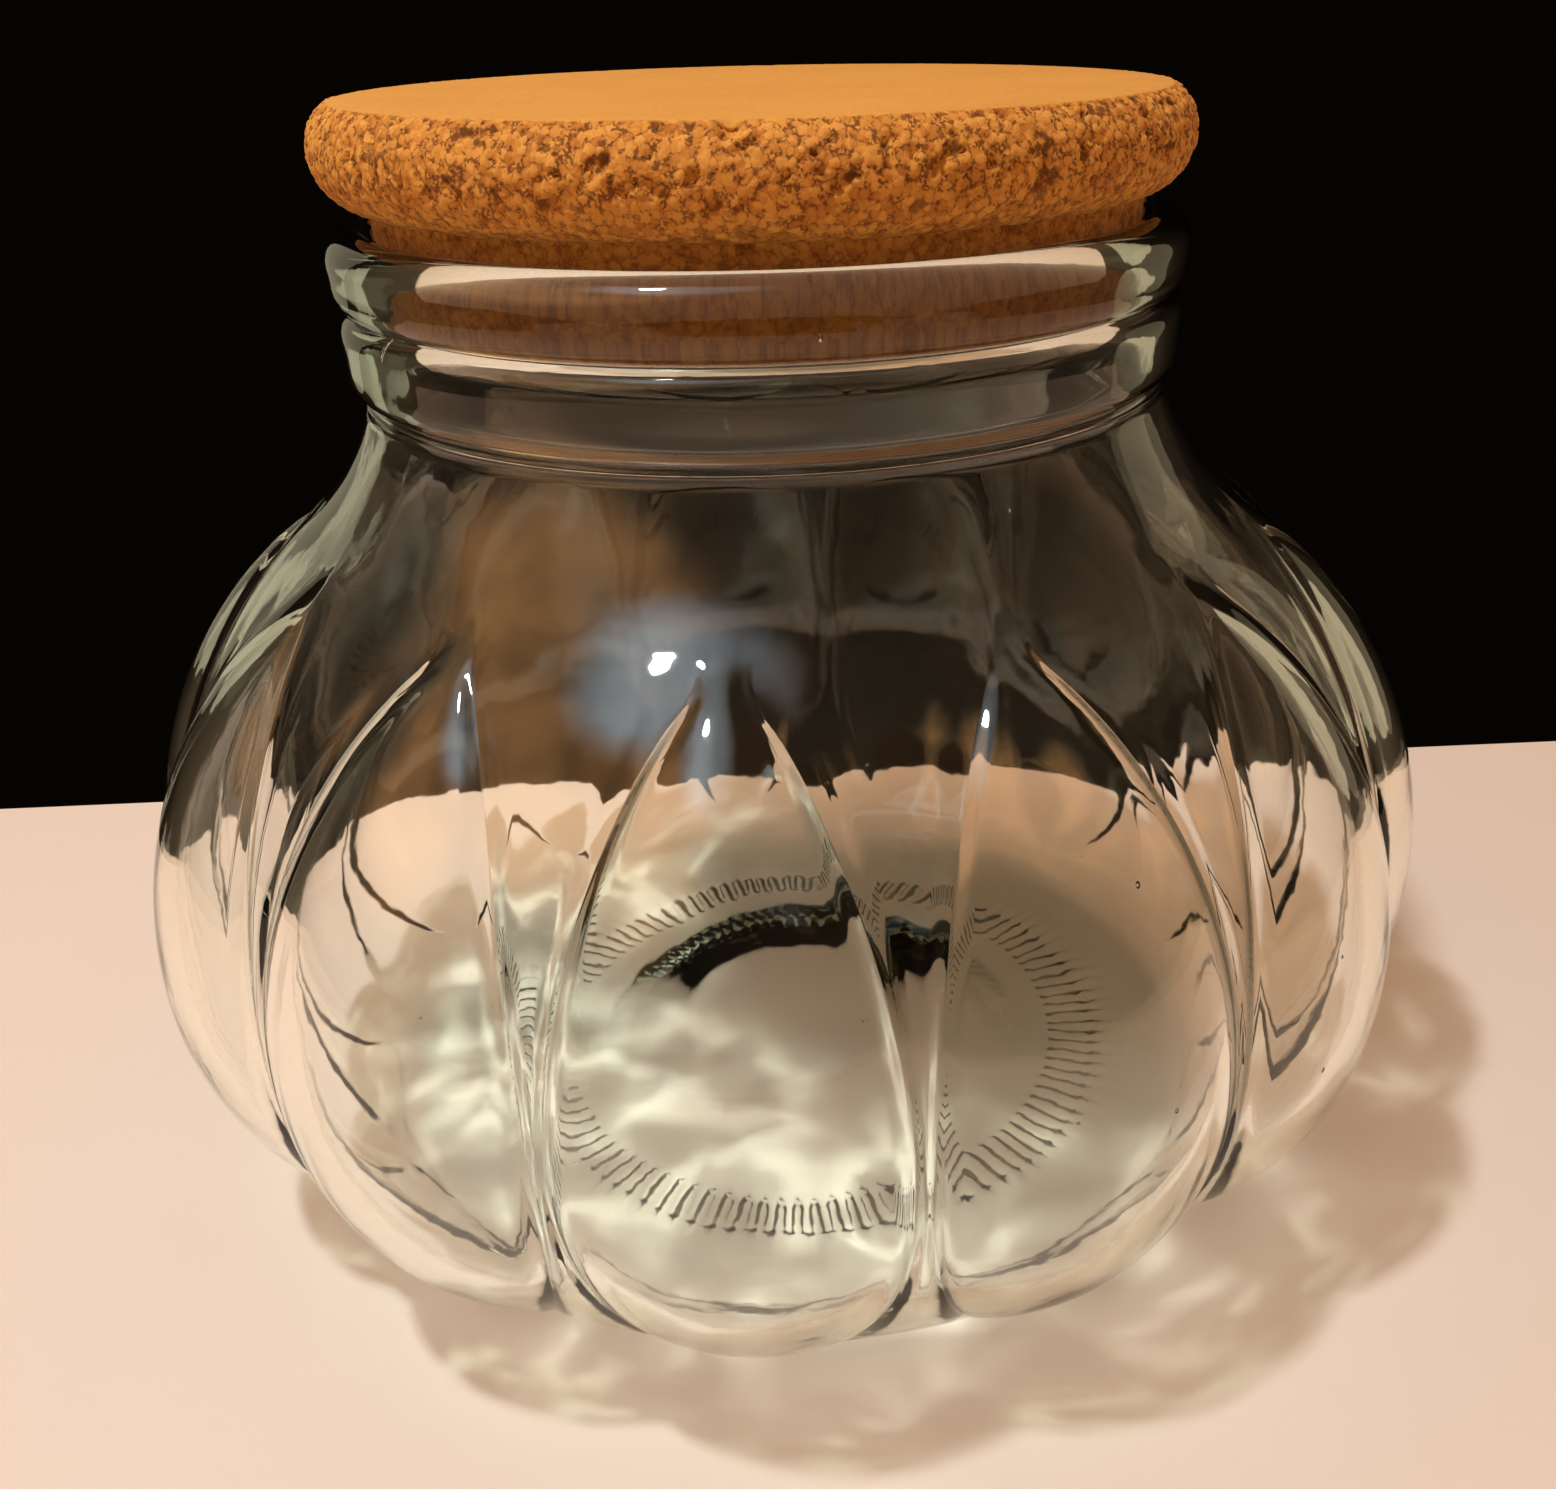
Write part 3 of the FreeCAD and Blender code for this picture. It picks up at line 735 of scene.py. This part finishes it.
# %% [markdown]
# ## The cork lid
# A smooth turned lid with a bumped finish would keep a clean edge against the dark, and the real one has
# a crumbly edge, so the granules are true relief: the tree sinks gaps and pits into the turned form. It
# only cuts inwards, as tearing does, so the lid stays inside the turned size. One larger nick sits at the
# front of the upper edge.

# %% Lid form
LID_COLUMNS = 880
NICK_INSET = 3.5
NICK_BELOW_TOP = 1
NICK_DEPTH = 1.0 * MM
NICK_EDGES = (0.4, 1.0)
LEAST_GRAIN = 0.1

lid_sizes = {
    "Granule": GRANULE,
    "Crevice": 0.55 * MM,
    "Pit": 0.8 * MM,
    "Nick Angle": math.radians(-80),
    "Nick Size": 2.4 * MM,
}
lid_form = TurnedForm("lid form", lid_line, LID_COLUMNS, lid_sizes)
lid_given = lid_form.given
grain = lid_form.mark("grain")
lid_around = lid_form.column * math.tau / lid_given["Columns"]
turned_place = lid_form.place(lid_form.rad, lid_around, lid_form.height)
lid_side, lid_tone, lid_pit = granules(lid_form, turned_place, lid_given["Granule"])
torn_depth = lid_given["Crevice"] * (0.6 * lid_side + 0.4 * lid_tone) + lid_given["Pit"] * lid_pit

nick_rad = (DISC_RAD - NICK_INSET) * MM
nick_x = nick_rad * lid_given["Nick Angle"].apply("COSINE")
nick_y = nick_rad * lid_given["Nick Angle"].apply("SINE")
nick_height = (LID_TOP - NICK_BELOW_TOP) * MM
nick = lid_form.add("ShaderNodeCombineXYZ", {}, {0: nick_x, 1: nick_y, 2: nick_height})
from_nick = lid_form.vector("DISTANCE", {0: turned_place, 1: nick}, "Value")
nicked = 1 - (from_nick / lid_given["Nick Size"]).step(*NICK_EDGES)
inset = torn_depth * grain + NICK_DEPTH * nicked * (grain > LEAST_GRAIN)
lid_rad = lid_form.rad - inset * lid_form.mark("out")
lid_height = lid_form.height - inset * lid_form.mark("up")
lid_skin = lid_form.surface(lid_form.place(lid_rad, lid_around, lid_height), grain=grain)
lid = lid_form.grow("granular_lid", lid_skin, cork)
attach(lid, "lid")
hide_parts("cork_lid")

# %% [markdown]
# ## The floor
# The jar stands on a pale, matt, level surface that ends a little way behind it, and the dark beyond that
# edge shows in the upper half of the glass. A single plane is enough. Its back edge runs through two
# points that were placed to match the photograph.

# %% Floor
EDGE_LEFT = Vector((-257, 79, 0)) * MM
EDGE_RIGHT = Vector((154.5, 169.5, 0)) * MM
FLOOR_PAST_RIGHT = 0.6
FLOOR_PAST_LEFT = 1.0
FLOOR_DEPTH = 1.0

along = (EDGE_RIGHT - EDGE_LEFT).normalized()
nearer = Vector((along.y, -along.x, 0)) * FLOOR_DEPTH
back_right = EDGE_RIGHT + along * FLOOR_PAST_RIGHT
back_left = EDGE_RIGHT - along * FLOOR_PAST_LEFT
floor_mesh = bpy.data.meshes.new("floor")
floor_mesh.from_pydata([back_right, back_left, back_left + nearer, back_right + nearer], [], [(0, 1, 2, 3)])
floor = bpy.data.objects.new("floor", floor_mesh)
bpy.context.collection.objects.link(floor)
floor_finish = bpy.data.materials.new("pale_floor")
floor_nodes = empty_nodes(floor_finish)
floor_skin = {"Base Color": (0.83, 0.76, 0.68, 1), "Roughness": 0.7}
floor_surface = floor_nodes.add("ShaderNodeBsdfPrincipled", {}, floor_skin)
floor_nodes.add("ShaderNodeOutputMaterial", {}, {"Surface": floor_surface})
floor_mesh.materials.append(floor_finish)
print("floor", [round(size, 2) for size in floor.dimensions])

# %% [markdown]
# ## The surroundings
# The room is dark and warm. An evenly lit world would turn the background grey, so the world has two
# faces. Matt surfaces get an even warm fill, a little more of it where the light came through the glass.
# The camera, and what the glass mirrors or bends, get near black with a few soft glows: a ceiling, a warm
# wall, the room's two sides and a halo round the lamp. The glows are left out where the camera looks
# straight past the jar.

# %% Surroundings
UPWARD = (0, 0, 1)
TO_WARM_WALL = (-0.62, -0.38, 0.69)
TO_SIDE = (0.986, 0.165, 0)
TO_LAMP = (-0.21, -0.27, 0.94)
FILL_TONE = (1.0, 0.57, 0.345, 1)
ROOM_TONE = (1.0, 0.65, 0.37, 1)
WALL_TONE = (1.0, 0.48, 0.18, 1)
LAMP_TONE = (0.9, 0.95, 1.0, 1)
BLACK = 0.002
CEILING_GLOW = 0.15
WALL_GLOW = 2.0
SIDE_GLOW = 0.06
HALO_GLOW = 1.3
MATT_FILL = 0.52
GLASS_FILL = 0.25
# Depths count whole bounces, so half a bounce parts none from one.
HALF_BOUNCE = 0.5

world = bpy.data.worlds.new("studio")
bpy.context.scene.world = world
room = empty_nodes(world)
ray = room.add("ShaderNodeTexCoord").output("Generated")
path = room.add("ShaderNodeLightPath")
to_camera = path.output("Is Camera Ray")
before_matt = path.output("Diffuse Depth") < HALF_BOUNCE
through_glass = path.output("Transmission Depth") > HALF_BOUNCE


def toward(direction):
    """1 where a ray goes in this direction, 0 across it and -1 the other way."""
    return room.vector("DOT_PRODUCT", {0: ray, 1: direction}, "Value")


cloud = room.noise(ray, scale=2.5, detail=2.0).step(0.35, 0.6)
ceiling = CEILING_GLOW * toward(UPWARD).step(0.25, 0.95)
warm_wall = WALL_GLOW * toward(TO_WARM_WALL).step(0.80, 0.97) * (0.3 + 0.7 * cloud)
both_sides = SIDE_GLOW * abs(toward(TO_SIDE)).step(0.4, 0.95)
halo = HALO_GLOW * toward(TO_LAMP).step(0.94, 0.995)
glow = BLACK + (1 - to_camera) * (ceiling + warm_wall + both_sides + halo)
fill = MATT_FILL + GLASS_FILL * through_glass
glow_tone = room.mix(halo, room.mix(warm_wall, ROOM_TONE, WALL_TONE), LAMP_TONE)
fill_light = room.add("ShaderNodeBackground", {}, {"Color": FILL_TONE, "Strength": fill})
dark_room = room.add("ShaderNodeBackground", {}, {"Color": glow_tone, "Strength": glow})
two_faces = room.add("ShaderNodeMixShader", {}, {0: before_matt, 1: fill_light, 2: dark_room})
room.add("ShaderNodeOutputWorld", {}, {"Surface": two_faces})
print("surroundings:", len(world.node_tree.nodes), "nodes")

# %% [markdown]
# ## The lamps
# The jar's shadow is sharp, lies close round the jar and reaches a little to the right, so the key lamp
# is small and stands high, slightly to the left. Its place was found from the shadow's edge on the floor.
# Glass would show it as a hard white dot at every bend, so it isn't seen through the glass. Two weak,
# broad lamps behind the jar light the edges of lip, ring and shoulder against the dark.

# %% Lamps
KEY_AIM = (0, 0, 0.08)
EDGE_AIM = (0, 0, 0.14)


def lamp(name, place, aim, size, power, colour):
    """An oval lamp of a width and a height in metres that looks at a point."""
    light = bpy.data.lights.new(name, "AREA")
    light.shape = "ELLIPSE"
    light.size, light.size_y = size
    light.energy = power
    light.color = colour
    made = bpy.data.objects.new(name, light)
    made.location = place
    made.visible_camera = False
    made.rotation_euler = (Vector(aim) - Vector(place)).to_track_quat("-Z", "Y").to_euler()
    bpy.context.collection.objects.link(made)
    print("lamp", name, power, "W")
    return made


key = lamp("key", (-0.18, -0.22, 0.8), KEY_AIM, (0.05, 0.05), 3.4, (0.94, 0.97, 0.98))
key.visible_transmission = False
lamp("left_edge", (-0.6, 0.42, 0.22), EDGE_AIM, (0.3, 0.5), 0.15, (1.0, 0.9, 0.6))
lamp("right_edge", (0.62, 0.5, 0.22), EDGE_AIM, (0.3, 0.5), 0.15, (1.0, 0.8, 0.5))

# %% [markdown]
# ## The view transform
# Colours stay as they are written, so the view transform is the plain one. The dressed jar has to stay
# inside the imported one.

# %% View transform
bpy.context.scene.view_settings.view_transform = "Standard"
